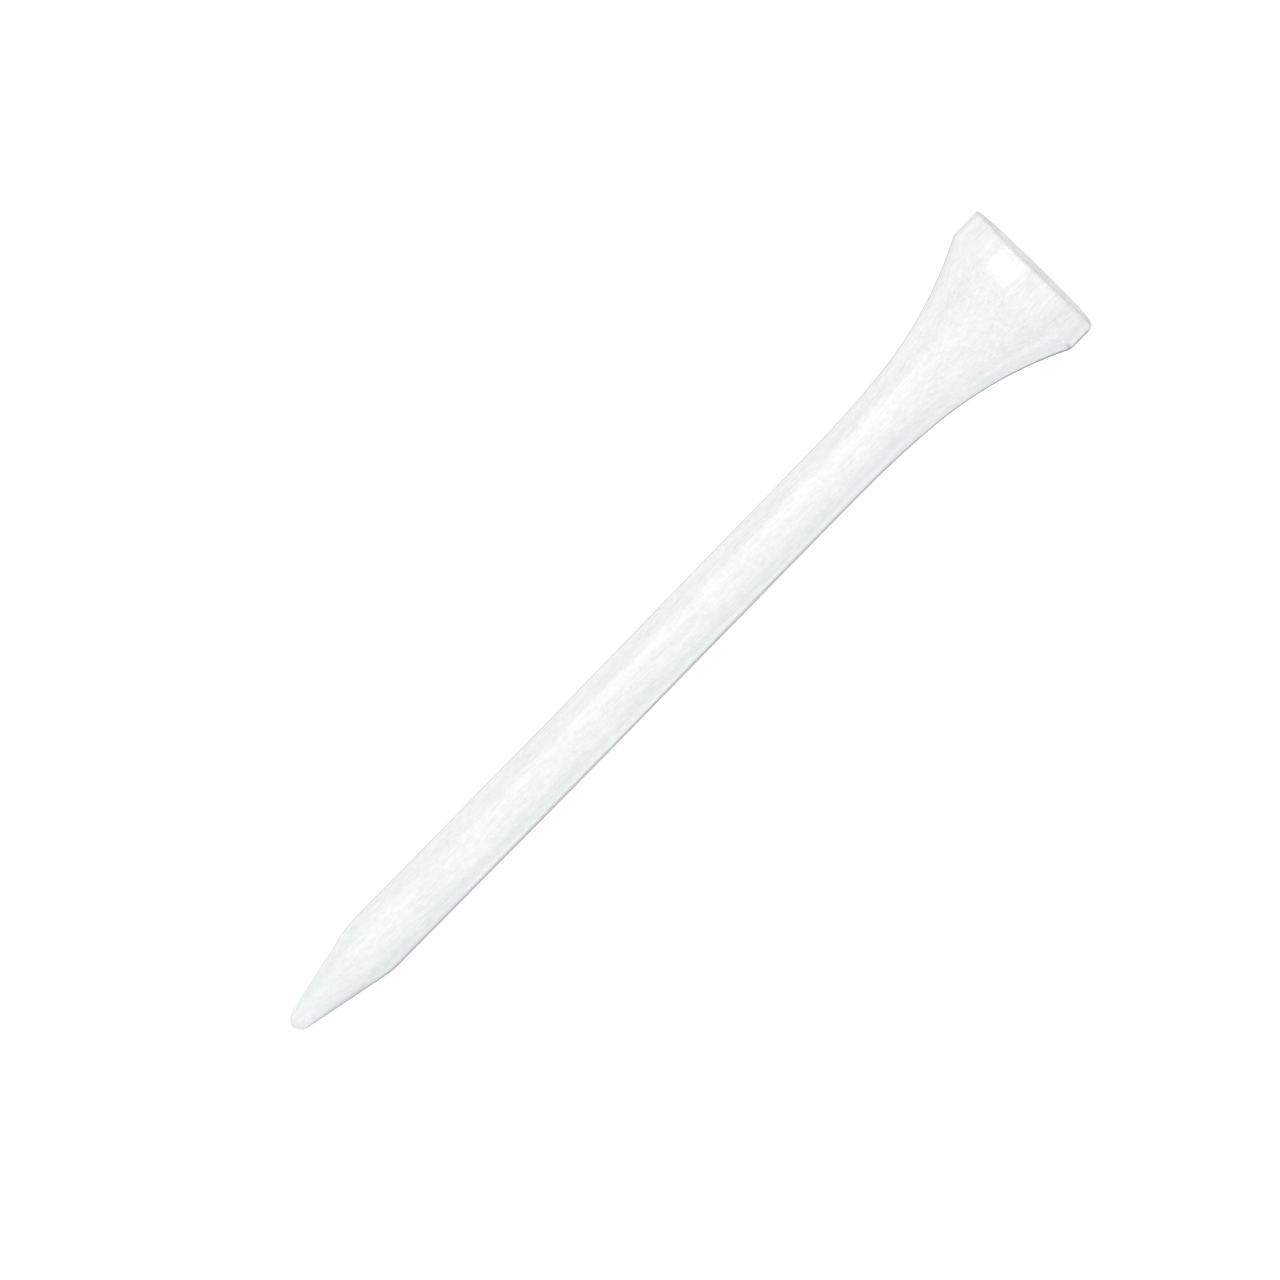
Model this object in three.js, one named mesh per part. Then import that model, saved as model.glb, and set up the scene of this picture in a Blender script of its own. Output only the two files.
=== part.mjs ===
// Wooden golf tee: a turned hardwood peg under a film of white lacquer.
// Millimetres, +Z up. The origin is the very point of the tee, on its axis; the ball's cup opens upward.

import * as THREE from "three";

// Peg over its lacquer, from the point up.
const LENGTH = 82.55;
const POINT_RADIUS = 0.9;
const POINT_HALF_ANGLE = THREE.MathUtils.degToRad(11.3);
const SHANK_RADIUS = 2.51;
const SHOULDER_RADIUS = 6;

// The neck swells along a long shallow arc, then along a tighter one, to the straight band of the head.
const EASE_RADIUS = 88;
const EASE_LENGTH = 8;
const FLARE_RADIUS = 31;
const HEAD_RADIUS = 6.17;
const HEAD_BAND = 2.2;
const HEAD_CORNER_RADIUS = 1.3;

// The cup: a shallow spherical dish with a rounded lip, inside a narrow flat rim.
const RIM_EDGE_RADIUS = 0.25;
const CUP_RADIUS = 5.35;
const CUP_DEPTH = 1.6;
const CUP_LIP_RADIUS = 0.5;

// The film stops at a pinhole on the very point, where a nib of wood shows through it.
const LACQUER_THICKNESS = 0.12;
const LACQUER_GAP = 0.02;
const PINHOLE_RADIUS = 0.3;
const NIB_RADIUS = 0.22;

const TURNS = 48;

/** Points along an arc about centre, from one angle to another, without its first point. */
function arc(centre, radius, from, to, steps) {
  const points = [];
  for (let i = 1; i <= steps; i++) {
    const angle = THREE.MathUtils.lerp(from, to, i / steps);
    points.push(new THREE.Vector2(
      centre.x + radius * Math.cos(angle),
      centre.y + radius * Math.sin(angle),
    ));
  }
  return points;
}

/** The point: a ball end that runs into a cone, and a soft shoulder up to the shank. */
function pointOutline() {
  const ball = new THREE.Vector2(0, POINT_RADIUS);
  const start = -Math.acos(PINHOLE_RADIUS / POINT_RADIUS);
  const first = new THREE.Vector2(PINHOLE_RADIUS, ball.y + POINT_RADIUS * Math.sin(start));
  const end = arc(ball, POINT_RADIUS, start, -POINT_HALF_ANGLE, 5);
  const coneStart = end[end.length - 1];
  const shoulder = new THREE.Vector2(SHANK_RADIUS - SHOULDER_RADIUS, 0);
  const coneEndRadius = shoulder.x + SHOULDER_RADIUS * Math.cos(POINT_HALF_ANGLE);
  const coneEndHeight = coneStart.y + (coneEndRadius - coneStart.x) / Math.tan(POINT_HALF_ANGLE);
  shoulder.y = coneEndHeight + SHOULDER_RADIUS * Math.sin(POINT_HALF_ANGLE);
  const coneEnd = new THREE.Vector2(coneEndRadius, coneEndHeight);
  return [first, ...end, coneEnd, ...arc(shoulder, SHOULDER_RADIUS, -POINT_HALF_ANGLE, 0, 2)];
}

/** The neck: two arcs that meet smoothly, then a rounded corner where the head's straight band begins. */
function neckOutline() {
  const turn = Math.asin(EASE_LENGTH / EASE_RADIUS);
  const ease = new THREE.Vector2(SHANK_RADIUS + EASE_RADIUS, 0);
  const flare = new THREE.Vector2(ease.x - (EASE_RADIUS - FLARE_RADIUS) * Math.cos(turn), 0);
  const corner = new THREE.Vector2(HEAD_RADIUS - HEAD_CORNER_RADIUS, LENGTH - HEAD_BAND);
  const reach = FLARE_RADIUS + HEAD_CORNER_RADIUS;
  const steepest = Math.acos((flare.x - corner.x) / reach);
  flare.y = corner.y - reach * Math.sin(steepest);
  ease.y = flare.y - (EASE_RADIUS - FLARE_RADIUS) * Math.sin(turn);
  return [
    new THREE.Vector2(SHANK_RADIUS, ease.y),
    ...arc(ease, EASE_RADIUS, Math.PI, Math.PI - turn, 3),
    ...arc(flare, FLARE_RADIUS, Math.PI - turn, Math.PI - steepest, 6),
    ...arc(corner, HEAD_CORNER_RADIUS, -steepest, 0, 2),
  ];
}

/** The head: its rounded outer edge, the flat rim, the lip and the dish, down to the dish's centre. */
function headOutline() {
  const edge = new THREE.Vector2(HEAD_RADIUS - RIM_EDGE_RADIUS, LENGTH - RIM_EDGE_RADIUS);
  const dishRadius = (CUP_RADIUS ** 2 + CUP_DEPTH ** 2) / (2 * CUP_DEPTH);
  const dish = new THREE.Vector2(0, LENGTH - CUP_DEPTH + dishRadius);
  const lip = new THREE.Vector2(0, LENGTH - CUP_LIP_RADIUS);
  const drop = dish.y - lip.y;
  lip.x = Math.sqrt((dishRadius + CUP_LIP_RADIUS) ** 2 - drop ** 2);
  const lean = Math.atan2(drop, -lip.x);
  return [
    new THREE.Vector2(HEAD_RADIUS, edge.y),
    ...arc(edge, RIM_EDGE_RADIUS, 0, Math.PI / 2, 3),
    new THREE.Vector2(lip.x, LENGTH),
    ...arc(lip, CUP_LIP_RADIUS, Math.PI / 2, lean, 2),
    ...arc(dish, dishRadius, lean - Math.PI, -Math.PI / 2, 5),
  ];
}

/** The same outline moved inward by a depth, each corner along its mitre. */
function inset(outline, depth) {
  return outline.map((point, i) => {
    const before = outline[Math.max(i - 1, 0)];
    const after = outline[Math.min(i + 1, outline.length - 1)];
    const arriving = point.clone().sub(before).normalize();
    const leaving = after.clone().sub(point).normalize();
    const along = arriving.clone().add(leaving).normalize();
    const mitre = along.dot(i > 0 ? arriving : leaving);
    const inward = new THREE.Vector2(-along.y, along.x);
    return point.clone().addScaledVector(inward, depth / mitre);
  });
}

/** An outline in radius and height, turned about the +Z axis into one closed body. */
function turned(outline) {
  const geometry = new THREE.LatheGeometry(outline, TURNS);
  geometry.rotateX(Math.PI / 2);
  return geometry;
}

const peg = [...pointOutline(), ...neckOutline(), ...headOutline()];
const cupCentre = (outline) => new THREE.Vector2(0, outline[outline.length - 1].y);

/** The turned wooden peg, with its bare nib filling the pinhole in the lacquer. */
function woodBody() {
  const surface = inset(peg, LACQUER_THICKNESS + LACQUER_GAP);
  const nib = [
    new THREE.Vector2(0, 0),
    new THREE.Vector2(NIB_RADIUS, LACQUER_GAP),
    new THREE.Vector2(NIB_RADIUS, surface[0].y),
  ];
  return turned([...nib, ...surface.slice(1, -1), cupCentre(surface)]);
}

/** The lacquer film: one skin over the whole peg, open only at the pinhole. */
function lacquerCoat() {
  const under = inset(peg, LACQUER_THICKNESS);
  const outside = [...peg.slice(0, -1), cupCentre(peg)];
  const inside = [cupCentre(under), ...under.slice(0, -1).reverse()];
  return turned([...outside, ...inside, outside[0]]);
}

const birch = () => new THREE.MeshStandardMaterial({ color: 0xd9bd8e, roughness: 0.7, metalness: 0 });
const whiteLacquer = () => new THREE.MeshStandardMaterial({ color: 0xf2f3f3, roughness: 0.25, metalness: 0 });

function piece(name, geometry, material) {
  const mesh = new THREE.Mesh(geometry, material);
  mesh.name = name;
  return mesh;
}

const tee = new THREE.Group();
tee.add(
  piece("wood_body", woodBody(), birch()),
  piece("lacquer_coat", lacquerCoat(), whiteLacquer()),
);

export default tee;
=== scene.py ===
"""A wooden golf tee in white lacquer, on its point on a white table under soft studio light."""

import math

import bmesh
import bpy
from mathutils import Matrix, Vector, noise


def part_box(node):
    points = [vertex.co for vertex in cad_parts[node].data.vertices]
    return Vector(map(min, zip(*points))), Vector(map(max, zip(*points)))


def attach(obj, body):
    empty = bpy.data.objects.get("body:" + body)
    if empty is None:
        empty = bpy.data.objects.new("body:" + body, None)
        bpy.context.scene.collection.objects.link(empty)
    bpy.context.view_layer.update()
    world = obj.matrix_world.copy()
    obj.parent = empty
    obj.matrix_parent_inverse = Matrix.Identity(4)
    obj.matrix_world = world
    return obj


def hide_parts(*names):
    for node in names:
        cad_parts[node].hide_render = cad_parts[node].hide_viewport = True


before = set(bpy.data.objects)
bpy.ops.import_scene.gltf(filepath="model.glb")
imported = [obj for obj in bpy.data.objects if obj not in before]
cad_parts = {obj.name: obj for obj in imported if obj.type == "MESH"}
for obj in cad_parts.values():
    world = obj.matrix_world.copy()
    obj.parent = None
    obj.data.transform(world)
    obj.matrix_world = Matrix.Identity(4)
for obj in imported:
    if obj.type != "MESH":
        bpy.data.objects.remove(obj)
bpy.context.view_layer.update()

MM = 0.001
LOW, HIGH = (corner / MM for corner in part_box("lacquer_coat"))

# The peg over its lacquer, in millimetres, as it is turned.
LENGTH = HIGH.z
HEAD_RADIUS = HIGH.x
POINT_RADIUS = 0.9
POINT_HALF_ANGLE = math.radians(11.3)
SHANK_RADIUS = 2.51
SHOULDER_RADIUS = 6.0
EASE_RADIUS = 88.0
EASE_LENGTH = 8.0
FLARE_RADIUS = 31.0
HEAD_BAND = 2.2
HEAD_CORNER_RADIUS = 1.3
CUP_RADIUS = 5.35
CUP_DEPTH = 1.6
CUP_LIP_RADIUS = 0.5

# The rim's outer edge is crisp on one side of the head and worn round on the other,
# and the hidden edge under the film is the same all round.
CRISP_EDGE = 0.2
UNDER_EDGE = 0.5
WORN_EDGE = 0.6

LACQUER_THICKNESS = 0.12
LACQUER_GAP = 0.02
PINHOLE_RADIUS = 0.3
NIB_RADIUS = 0.22

# The shank is a little bowed: how far its middle lies off the axis, and where the bow ends.
BOW = 0.07
BOW_TOP = 62.0

# Steps round the axis, and how densely the outline is drawn on the skin that shows and on the hidden faces.
TURNS = 240
FINE = 1.0
COARSE = 0.16


# ---------------------------------------------------------------- outline

class Outline:
    """A curve in radius and height, drawn point after point; a density below 1 draws it coarser."""

    def __init__(self, start, density):
        self.points = [start]
        self.density = density

    def line(self, end, steps):
        start = self.points[-1]
        steps = max(round(steps * self.density), 1)
        self.points += [start.lerp(end, step / steps) for step in range(1, steps + 1)]

    def arc(self, centre, radius, start, end, steps):
        steps = max(round(steps * self.density), 2)
        for step in range(1, steps + 1):
            angle = start + (end - start) * step / steps
            self.points.append(centre + radius * Vector((math.cos(angle), math.sin(angle))))


def draw_point(pen, ball):
    """The ball end, the cone and its soft shoulder, up to the shank."""
    pen.arc(ball, POINT_RADIUS, -math.acos(PINHOLE_RADIUS / POINT_RADIUS), -POINT_HALF_ANGLE, 12)
    start = pen.points[-1]
    shoulder = Vector((SHANK_RADIUS - SHOULDER_RADIUS, 0))
    cone_radius = shoulder.x + SHOULDER_RADIUS * math.cos(POINT_HALF_ANGLE)
    cone_height = start.y + (cone_radius - start.x) / math.tan(POINT_HALF_ANGLE)
    shoulder.y = cone_height + SHOULDER_RADIUS * math.sin(POINT_HALF_ANGLE)
    pen.line(Vector((cone_radius, cone_height)), 26)
    pen.arc(shoulder, SHOULDER_RADIUS, -POINT_HALF_ANGLE, 0, 6)


def draw_neck(pen):
    """The shank, the shallow arc off it, the tighter flare, and the rounded corner of the head."""
    turn = math.asin(EASE_LENGTH / EASE_RADIUS)
    ease = Vector((SHANK_RADIUS + EASE_RADIUS, 0))
    flare = Vector((ease.x - (EASE_RADIUS - FLARE_RADIUS) * math.cos(turn), 0))
    corner = Vector((HEAD_RADIUS - HEAD_CORNER_RADIUS, LENGTH - HEAD_BAND))
    reach = FLARE_RADIUS + HEAD_CORNER_RADIUS
    steepest = math.acos((flare.x - corner.x) / reach)
    flare.y = corner.y - reach * math.sin(steepest)
    ease.y = flare.y - (EASE_RADIUS - FLARE_RADIUS) * math.sin(turn)
    pen.line(Vector((SHANK_RADIUS, ease.y)), 88)
    pen.arc(ease, EASE_RADIUS, math.pi, math.pi - turn, 26)
    pen.arc(flare, FLARE_RADIUS, math.pi - turn, math.pi - steepest, 80)
    pen.arc(corner, HEAD_CORNER_RADIUS, -steepest, 0, 8)


def draw_head(pen, edge_radius):
    """The straight band, the rim's edge and land, the lip and the dish down to its centre."""
    edge = Vector((HEAD_RADIUS - edge_radius, LENGTH - edge_radius))
    dish_radius = (CUP_RADIUS ** 2 + CUP_DEPTH ** 2) / (2 * CUP_DEPTH)
    dish = Vector((0, LENGTH - CUP_DEPTH + dish_radius))
    lip = Vector((0, LENGTH - CUP_LIP_RADIUS))
    drop = dish.y - lip.y
    lip.x = math.sqrt((dish_radius + CUP_LIP_RADIUS) ** 2 - drop ** 2)
    lean = math.atan2(drop, -lip.x)
    pen.line(Vector((HEAD_RADIUS, LENGTH - WORN_EDGE)), 12)
    pen.line(Vector((HEAD_RADIUS, edge.y)), 8)
    pen.arc(edge, edge_radius, 0, math.pi / 2, 4)
    pen.line(Vector((lip.x, LENGTH)), 8)
    pen.arc(lip, CUP_LIP_RADIUS, math.pi / 2, lean, 6)
    pen.arc(dish, dish_radius, lean - math.pi, -math.pi / 2, 44)


def peg_outline(edge_radius, density):
    """The whole outside, from the pinhole's edge up round the rim to the dish's centre."""
    ball = Vector((0, POINT_RADIUS))
    pinhole = Vector((PINHOLE_RADIUS, -math.sqrt(POINT_RADIUS ** 2 - PINHOLE_RADIUS ** 2)))
    pen = Outline(ball + pinhole, density)
    draw_point(pen, ball)
    draw_neck(pen)
    draw_head(pen, edge_radius)
    return pen.points


def inset(outline, depth):
    """The same outline moved inward by a depth, each corner along its mitre."""
    moved = []
    for place, here in enumerate(outline):
        before = outline[max(place - 1, 0)]
        after = outline[min(place + 1, len(outline) - 1)]
        arriving = (here - before).normalized()
        leaving = (after - here).normalized()
        along = (arriving + leaving).normalized()
        mitre = along.dot(arriving if place else leaving)
        moved.append(here + Vector((-along.y, along.x)) * depth / mitre)
    return moved


def to_axis(outline):
    """The outline with its last point brought onto the axis."""
    return [*outline[:-1], Vector((0, outline[-1].y))]


# ---------------------------------------------------------------- relief

def smooth(low, high, value):
    """0 at low, 1 at high, and an easy slope between."""
    share = min(max((value - low) / (high - low), 0), 1)
    return share * share * (3 - 2 * share)


def fibres(place):
    """Raised grain: long fibres that run up the peg."""
    fine = Vector((place.x / 0.34, place.y / 0.34, place.z / 7.5))
    coarse = Vector((place.x / 0.8 + 9, place.y / 0.8, place.z / 14))
    return 0.0035 * noise.noise(fine) + 0.005 * noise.noise(coarse)


def growth_rings(place):
    """The faint ridges of the growth rings, which keep the blank's own direction."""
    from_pith = math.hypot(place.x + 19, place.y - 7)
    wander = 0.5 * noise.noise(Vector((place.x / 5, place.y / 5, place.z / 30)))
    return 0.0018 * math.sin(math.tau * (from_pith + wander) / 1.35)


def tool_marks(place):
    """Fine rings left by the turning knife, plainer in the cup than outside."""
    distance = math.hypot(place.x, place.y)
    if place.z > LENGTH - CUP_DEPTH - 0.1 and distance < CUP_RADIUS:
        return 0.005 * smooth(CUP_RADIUS, CUP_RADIUS - 0.4, distance) * math.sin(math.tau * distance / 0.62)
    return 0.0009 * math.sin(math.tau * place.z / 0.47)


def film_flow(place):
    """The slow swells of a tumbled coat of lacquer."""
    return 0.006 * noise.noise(place / 1.9) + 0.014 * noise.noise(place / 6.5 + Vector((3, 1, 4)))


def relief(place):
    """How far the finished surface stands out at a place."""
    return fibres(place) + growth_rings(place) + tool_marks(place) + film_flow(place)


def worn(place):
    """A place on the head, brought in onto the rim's edge as it is worn there."""
    distance = math.hypot(place.x, place.y)
    radius = CRISP_EDGE + (WORN_EDGE - CRISP_EDGE) * smooth(0.45, 0.95, place.x / HEAD_RADIUS)
    over = Vector((distance - HEAD_RADIUS + radius, place.z - LENGTH + radius))
    if min(over) <= 0 or over.length <= radius:
        return place
    over *= 1 - radius / over.length
    return place - Vector((place.x / distance * over.x, place.y / distance * over.x, over.y))


def bow(height):
    """How far the peg lies off the axis at a height."""
    return Vector((BOW * (1 - math.cos(math.tau * min(height / BOW_TOP, 1))) / 2, 0, 0))


# ---------------------------------------------------------------- pieces

def turned(outline, skin_points):
    """A closed shape turned about the axis; its first outline points make the skin that shows."""
    shape = bmesh.new()
    skin = shape.verts.layers.float.new("skin")
    corners = [shape.verts.new((point.x, 0, point.y)) for point in outline]
    for corner in corners[:skin_points]:
        corner[skin] = 1
    for near, far in zip(corners, corners[1:]):
        shape.edges.new((near, far))
    bmesh.ops.spin(
        shape, geom=shape.verts[:] + shape.edges[:], cent=(0, 0, 0), axis=(0, 0, 1),
        angle=math.tau, steps=TURNS, use_merge=True,
    )
    bmesh.ops.remove_doubles(shape, verts=shape.verts[:], dist=1e-4)
    bmesh.ops.recalc_face_normals(shape, faces=shape.faces[:])
    return shape


def weather(shape):
    """Wears the rim's edge, raises the relief of the skin that shows, and bends it all to the peg's bow."""
    skin = shape.verts.layers.float["skin"]
    for vert in shape.verts:
        if vert[skin]:
            vert.co = worn(vert.co)
    shape.normal_update()
    for vert in shape.verts:
        vert.co += vert.normal * relief(vert.co) * vert[skin] + bow(vert.co.z)


def finish_piece(name, shape, material, node):
    """The shape as an object in metres that rides on the root and stands for its CAD node."""
    bmesh.ops.scale(shape, vec=(MM, MM, MM), verts=shape.verts[:])
    mesh = bpy.data.meshes.new(name)
    shape.to_mesh(mesh)
    shape.free()
    mesh.polygons.foreach_set("use_smooth", [True] * len(mesh.polygons))
    mesh.materials.append(material)
    piece = bpy.data.objects.new(name, mesh)
    bpy.context.scene.collection.objects.link(piece)
    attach(piece, "root")
    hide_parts(node)


def lacquer_film():
    """The lacquer over the whole peg, a closed skin with one pinhole at the very point."""
    outside = to_axis(peg_outline(CRISP_EDGE, FINE))
    under = to_axis(inset(peg_outline(UNDER_EDGE, COARSE), LACQUER_THICKNESS))
    shape = turned([*outside, *reversed(under), outside[0]], len(outside))
    weather(shape)
    finish_piece("lacquer_film", shape, lacquer(), "lacquer_coat")


def birch_peg():
    """The turned peg under the film, with the nib of bare wood that fills the pinhole."""
    surface = to_axis(inset(peg_outline(UNDER_EDGE, COARSE), LACQUER_THICKNESS + LACQUER_GAP))
    nib = [Vector((0, 0)), Vector((NIB_RADIUS, LACQUER_GAP)), Vector((NIB_RADIUS, surface[0].y))]
    shape = turned([*nib, *surface[1:]], 0)
    weather(shape)
    finish_piece("birch_peg", shape, birch(), "wood_body")


# ---------------------------------------------------------------- shader words

class Value:
    """A number in a shader, worked out by Math nodes as it is used."""

    def __init__(self, paint, socket):
        self.paint = paint
        self.socket = socket

    def math(self, operation, first, second):
        made = self.paint.node("ShaderNodeMath", {"operation": operation}, {0: first, 1: second})
        return Value(self.paint, made.outputs[0])

    def __add__(self, other):
        return self.math("ADD", self, other)

    def __sub__(self, other):
        return self.math("SUBTRACT", self, other)

    def __rsub__(self, other):
        return self.math("SUBTRACT", other, self)

    def __mul__(self, other):
        return self.math("MULTIPLY", self, other)

    __radd__ = __add__
    __rmul__ = __mul__

    def above(self, low, high):
        """0 at low and below, 1 at high and above."""
        made = self.paint.node(
            "ShaderNodeMapRange", {"interpolation_type": "SMOOTHSTEP"},
            {0: self, 1: low, 2: high, 3: 0, 4: 1},
        )
        return Value(self.paint, made.outputs[0])


class Paint:
    """A material under construction, with one method that adds any node."""

    def __init__(self, name):
        self.material = bpy.data.materials.new(name)
        self.material.use_nodes = True
        self.tree = self.material.node_tree
        self.tree.nodes.clear()

    def node(self, kind, settings=None, inputs=None):
        made = self.tree.nodes.new(kind)
        for setting, value in (settings or {}).items():
            setattr(made, setting, value)
        for name, value in (inputs or {}).items():
            if isinstance(value, Value):
                value = value.socket
            if isinstance(value, bpy.types.NodeSocket):
                self.tree.links.new(value, made.inputs[name])
            else:
                made.inputs[name].default_value = value
        return made

    def place(self, scale):
        """Object coordinates in millimetres, each multiplied by its scale."""
        coordinates = self.node("ShaderNodeTexCoord")
        factors = [share / MM for share in scale]
        made = self.node(
            "ShaderNodeVectorMath", {"operation": "MULTIPLY"},
            {0: coordinates.outputs["Object"], 1: factors},
        )
        return made.outputs[0]

    def distance_from_axis(self):
        """How far a place is from the tee's axis, in millimetres."""
        made = self.node("ShaderNodeVectorMath", {"operation": "LENGTH"}, {0: self.place((1, 1, 0))})
        return Value(self, made.outputs["Value"])

    def height(self):
        """How high a place is above the point, in millimetres."""
        made = self.node("ShaderNodeSeparateXYZ", {}, {0: self.place((1, 1, 1))})
        return Value(self, made.outputs["Z"])

    def noise(self, scale, detail=2.0, roughness=0.5):
        """A noise between 0 and 1; scale is its pitches per millimetre along X, Y and Z."""
        made = self.node(
            "ShaderNodeTexNoise", {}, {
                "Vector": self.place(scale), "Scale": 1.0, "Detail": detail, "Roughness": roughness,
            },
        )
        return Value(self, made.outputs[0])

    def mix(self, share, low, high):
        """A colour between two colours."""
        made = self.node("ShaderNodeMix", {"data_type": "RGBA"}, {0: share, 6: low, 7: high})
        return made.outputs[2]

    def bump(self, height, depth):
        """A normal from a height between 0 and 1, depth millimetres tall."""
        made = self.node("ShaderNodeBump", {}, {"Strength": 1.0, "Distance": depth * MM, "Height": height})
        return made.outputs[0]

    def shader(self, inputs):
        """The surface's own shader, joined to the output."""
        made = self.node("ShaderNodeBsdfPrincipled", {}, inputs)
        self.node("ShaderNodeOutputMaterial", {}, {"Surface": made.outputs[0]})
        return self.material


# ---------------------------------------------------------------- finishes

def lacquer():
    """White lacquer: glossy, faintly clouded, with the grain of the wood showing through as relief, and
    painted shade at the rim's outer edge and towards the point.
    """
    paint = Paint("white_lacquer")
    strands = paint.noise((5.2, 5.2, 0.45), 3, 0.6)
    mottle = paint.noise((2.4, 2.4, 1.5), 3, 0.6)
    cloud = paint.noise((0.5, 0.5, 0.16), 2)
    grain = paint.noise((8.5, 8.5, 4.5), 1)
    streaks = paint.noise((0.95, 0.95, 0.12), 1)
    pores = paint.noise((6.0, 6.0, 0.55), 1).above(0.66, 0.76)
    height = paint.height()
    band = height.above(79.6, 80.6)
    # Painted shade: this mask darkens the base colour towards blue-grey. It is strongest at the very point,
    # fainter in a thin ring along the rim's outer edge, and faint over the shank's lowest 13 millimetres.
    # The same mask also roughens the lacquer there.
    rim = paint.distance_from_axis().above(5.7, 6.0) * height.above(82.15, 82.4)
    painted_shade = 0.2 * rim + 0.4 * (1 - height.above(0.1, 1.0)) + 0.12 * (1 - height.above(3, 13))
    shade = strands.above(0.3, 0.7) * 0.3 + mottle.above(0.3, 0.7) * 0.3 + cloud.above(0.3, 0.7) * 0.2
    shade = shade + grain.above(0.3, 0.7) * 0.2 + (streaks.above(0.3, 0.7) - 0.5) * band * 0.25
    shade = shade * (1 - 0.7 * pores)
    greener = 1 - 0.8 * height.above(56, 70) - 0.2 * cloud.above(0.35, 0.65)
    plain = paint.mix(shade, (0.75, 0.755, 0.755, 1), (0.93, 0.93, 0.925, 1))
    green = paint.mix(shade, (0.73, 0.765, 0.755, 1), (0.905, 0.93, 0.92, 1))
    relief = strands * 0.45 + mottle * 0.55 - pores * 0.3
    return paint.shader({
        # The base colour is mixed towards blue-grey by the painted shade mask.
        "Base Color": paint.mix(painted_shade, paint.mix(greener, plain, green), (0.6, 0.63, 0.65, 1)),
        "Roughness": 0.04 + 0.07 * mottle + 0.12 * pores + 0.3 * painted_shade,
        "Normal": paint.bump(relief, 0.007),
        "IOR": 1.5,
    })


def birch():
    """Bare birch: pale, straight grain with faint growth rings."""
    paint = Paint("birch")
    strands = paint.noise((6.0, 6.0, 0.12), 4, 0.6)
    rings = paint.noise((0.75, 0.3, 0.02), 2)
    tint = paint.mix(strands * 0.6 + rings * 0.4, (0.58, 0.40, 0.22, 1), (0.80, 0.64, 0.43, 1))
    return paint.shader({
        "Base Color": tint,
        "Roughness": 0.55 + 0.25 * strands,
        "Normal": paint.bump(strands, 0.02),
    })


# ---------------------------------------------------------------- stage

# The stage is in metres. Gloss cards lie just over the table top, and what lights the tee from below lies
# just under it, out of the camera's sight.
TABLE_RADIUS = 4.0
CARD_HEIGHT = 0.00005
SHADE_HEIGHT = -0.0005
FOOT_HEIGHT = -0.00075
FOOT_RADIUS = 0.02
FOOT_GLOW = 1.06
GLOW_HEIGHT = -0.001
TABLE_GLOW = 1.16
TOP_FLAG_RADIUS = 0.5
TOP_FLAG_HEIGHT = 0.6
TOP_FLAG_GLOW = 0.62
ROOM_LIGHT = 1.04
KEY_POWER = 0.55
KEY_BEARING = math.radians(-162)
KEY_RISE = 0.45
KEY_DISTANCE = 0.8
KEY_SIZE = 0.5

# The tall cards stand round the far edge of the low ones.
TALL_RADII = (3.0, 3.05)
TALL_RISE = 2.4


def glowing(name, near, far, strength):
    """A finish that only glows, in one colour close to the tee and another far from it."""
    paint = Paint(name)
    distance = paint.distance_from_axis()
    return paint.shader({
        "Base Color": (0, 0, 0, 1), "Specular IOR Level": 0.0,
        "Emission Color": paint.mix(distance.above(80, 170), (*near, 1), (*far, 1)),
        "Emission Strength": strength,
    })


def table_white():
    """The table's finish: matt white, with a glow of its own that keeps it as bright as the room."""
    paint = Paint("table_white")
    return paint.shader({
        "Base Color": (0.9, 0.9, 0.9, 1), "Roughness": 0.9, "Specular IOR Level": 0.0,
        "Emission Color": (1, 1, 1, 1), "Emission Strength": 0.25,
    })


def stage_piece(name, shape, material):
    """A stage object, which isn't part of the tee."""
    mesh = bpy.data.meshes.new(name)
    shape.to_mesh(mesh)
    shape.free()
    mesh.materials.append(material)
    card = bpy.data.objects.new(name, mesh)
    bpy.context.scene.collection.objects.link(card)
    return card


def disc(name, radius, height, material):
    """A level round card, centred on the tee's axis."""
    shape = bmesh.new()
    bmesh.ops.create_circle(shape, cap_ends=True, radius=radius, segments=96)
    bmesh.ops.translate(shape, vec=(0, 0, height), verts=shape.verts[:])
    return stage_piece(name, shape, material)


def table():
    """The pale table, which reaches past the camera's view, and its glow, a little weaker at the foot."""
    disc("table_top", TABLE_RADIUS, 0, table_white()).visible_diffuse = False
    glow = disc("table_glow", TABLE_RADIUS, GLOW_HEIGHT, glowing("table_glow", WHITE, WHITE, TABLE_GLOW))
    foot = disc("foot_shade", FOOT_RADIUS, FOOT_HEIGHT, glowing("foot_shade", WHITE, WHITE, FOOT_GLOW))
    glow.visible_camera = False
    foot.visible_camera = False


def ring_card(name, radii, bearings, material, height, rise=0.0):
    """An unseen card, part of a ring round the tee; its bearings run from +Y towards +X, in degrees."""
    start, end = (math.radians(bearing) for bearing in bearings)
    shape = bmesh.new()
    first = Vector((math.sin(start), math.cos(start), 0))
    near, far = (shape.verts.new(first * radius + Vector((0, 0, height))) for radius in radii)
    far.co.z += rise
    edge = shape.edges.new((near, far))
    bmesh.ops.spin(
        shape, geom=[near, far, edge], cent=(0, 0, 0), axis=(0, 0, 1), angle=start - end, steps=24,
    )
    card = stage_piece(name, shape, material)
    card.visible_camera = False
    card.visible_shadow = False
    return card


def gloss_card(name, radii, bearings, near, far, strength, height=CARD_HEIGHT, rise=0.0):
    """A card that shows only in the tee's gloss; it lies on the table unless it has a height or a rise."""
    card = ring_card(name, radii, bearings, glowing(name, near, far, strength), height, rise)
    card.visible_diffuse = False


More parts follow.
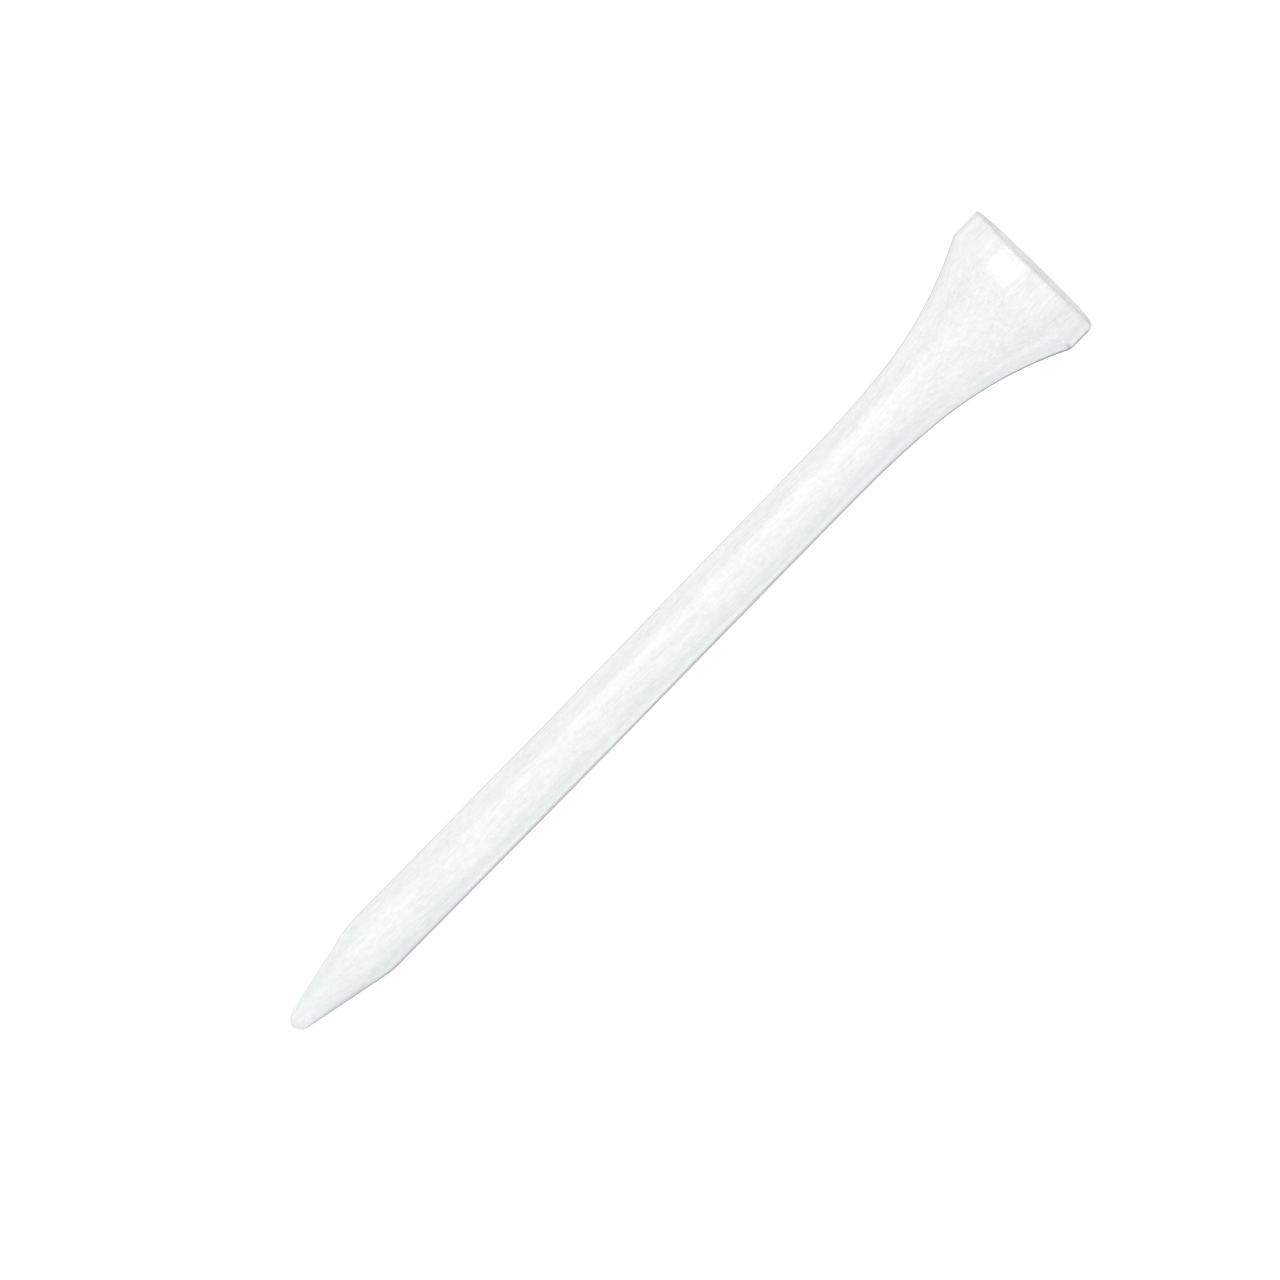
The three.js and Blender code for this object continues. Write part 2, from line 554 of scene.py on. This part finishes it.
def shade_card(name, radii, bearings, colour, strength):
    """A card over the table's glow and a little dimmer, which shades one side of the tee."""
    card = ring_card(name, radii, bearings, glowing(name, colour, colour, strength), SHADE_HEIGHT)
    card.visible_glossy = False


def top_flag():
    """A dimmer card overhead, which lets the cup and the rim stand out against the room."""
    finish = glowing("top_flag", COOL, COOL, TOP_FLAG_GLOW)
    disc("top_flag", TOP_FLAG_RADIUS, TOP_FLAG_HEIGHT, finish).visible_camera = False


def key_light():
    """A soft light to the front left, a little above the tee."""
    data = bpy.data.lights.new("key", "AREA")
    data.shape = "DISK"
    data.size = KEY_SIZE
    data.energy = KEY_POWER
    light = bpy.data.objects.new("key", data)
    away = Vector((math.sin(KEY_BEARING), math.cos(KEY_BEARING), KEY_RISE)).normalized()
    turn = away.to_track_quat("Z", "Y").to_matrix().to_4x4()
    light.matrix_world = Matrix.Translation(away * KEY_DISTANCE) @ turn
    light.visible_camera = False
    light.visible_glossy = False
    bpy.context.scene.collection.objects.link(light)


WHITE = (1, 1, 1)
BLACK = (0, 0, 0)
COOL = (0.92, 0.98, 1)

# These cards lie level with the neck and narrow the dark edges of the flare. Each has its near and far
# radius, and the bearing in degrees where it starts.
FLARE_CARD_HEIGHT = 0.064
FLARE_CARDS = ((0.007, 0.016, 56), (0.016, 0.028, 48), (0.028, 0.048, 38), (0.048, 0.08, 29))


def studio():
    """A white room with a soft key, and cards to light and darken the gloss."""
    scene = bpy.context.scene
    scene.view_settings.view_transform = "Standard"
    world = bpy.data.worlds.new("white_room")
    world.use_nodes = True
    background = world.node_tree.nodes["Background"]
    background.inputs["Color"].default_value = (1, 1, 1, 1)
    background.inputs["Strength"].default_value = ROOM_LIGHT
    scene.world = world
    table()
    top_flag()
    key_light()
    shade_card("right_shade", (0.003, 1.5), (50, 128), COOL, 0.78)
    shade_card("left_shade", (0.02, 1.5), (-110, -40), WHITE, 0.96)
    gloss_card("light_card", (0.004, 1.2), (-130, -167), (0.6, 0.6, 0.6), WHITE, 2.3)
    gloss_card("far_light_card", (1.2, 3.0), (-126, -168), WHITE, WHITE, 4.2)
    gloss_card("far_side_card", (1.2, 3.0), (-92, -126), WHITE, WHITE, 2.0)
    gloss_card("dark_flag", (0.014, 1.0), (0, 49), BLACK, BLACK, 0.0)
    gloss_card("near_dark_flag", (0.0009, 0.014), (0, 75), BLACK, BLACK, 0.0)
    gloss_card("far_dark_flag", (1.0, 3.0), (0, 27), WHITE, WHITE, 0.2)
    gloss_card("tall_dark_flag", TALL_RADII, (0, 27), WHITE, WHITE, 0.6, rise=TALL_RISE)
    gloss_card("right_glow", (0.07, 0.6), (50, 82), WHITE, WHITE, 1.7)
    gloss_card("grey_flag", (0.014, 3.0), (82, 122), COOL, COOL, 0.7)
    gloss_card("left_flag", (0.0009, 1.0), (-32, 0), WHITE, WHITE, 0.6)
    gloss_card("far_left_flag", (1.0, 3.0), (-40, 0), WHITE, WHITE, 0.75)
    gloss_card("tall_left_flag", TALL_RADII, (-40, 0), WHITE, WHITE, 0.7, rise=TALL_RISE)
    gloss_card("side_flag", (0.0009, 1.2), (-118, -84), WHITE, WHITE, 0.7)
    for place, (near, far, start) in enumerate(FLARE_CARDS):
        gloss_card(
            f"flare_card_{place}", (near, far), (start, 78), COOL, COOL, 0.95, FLARE_CARD_HEIGHT,
        )
        gloss_card(
            f"flare_card_{place}_left", (near, far), (-60, -start), WHITE, WHITE, 0.85, FLARE_CARD_HEIGHT,
        )


# ---------------------------------------------------------------- camera

# The camera's distance and aim are in millimetres, like the tee.
CAMERA_ELEVATION = math.radians(9.9)
CAMERA_DISTANCE = 302.85
CAMERA_LENS = 111.1
LEAN = math.radians(44.34)
AIM_RIGHT = -1.245
AIM_UP = 1.195


def camera():
    """A long lens a little above the tee's middle, rolled so that the tee leans to the right."""
    forward = Vector((0, math.cos(CAMERA_ELEVATION), -math.sin(CAMERA_ELEVATION)))
    level = Vector((1, 0, 0))
    upright = level.cross(forward)
    right = level * math.cos(LEAN) + upright * math.sin(LEAN)
    up = upright * math.cos(LEAN) - level * math.sin(LEAN)
    aim = Vector((0, 0, LENGTH / 2)) + right * AIM_RIGHT + up * AIM_UP
    data = bpy.data.cameras.new("camera")
    data.sensor_width = 36
    data.lens = CAMERA_LENS
    data.clip_start = 0.01
    data.clip_end = 20
    made = bpy.data.objects.new("camera", data)
    bpy.context.scene.collection.objects.link(made)
    turn = Matrix((right, up, -forward)).transposed().to_4x4()
    made.matrix_world = Matrix.Translation((aim - forward * CAMERA_DISTANCE) * MM) @ turn
    bpy.context.scene.camera = made


camera()
studio()
lacquer_film()
birch_peg()
bpy.context.view_layer.update()
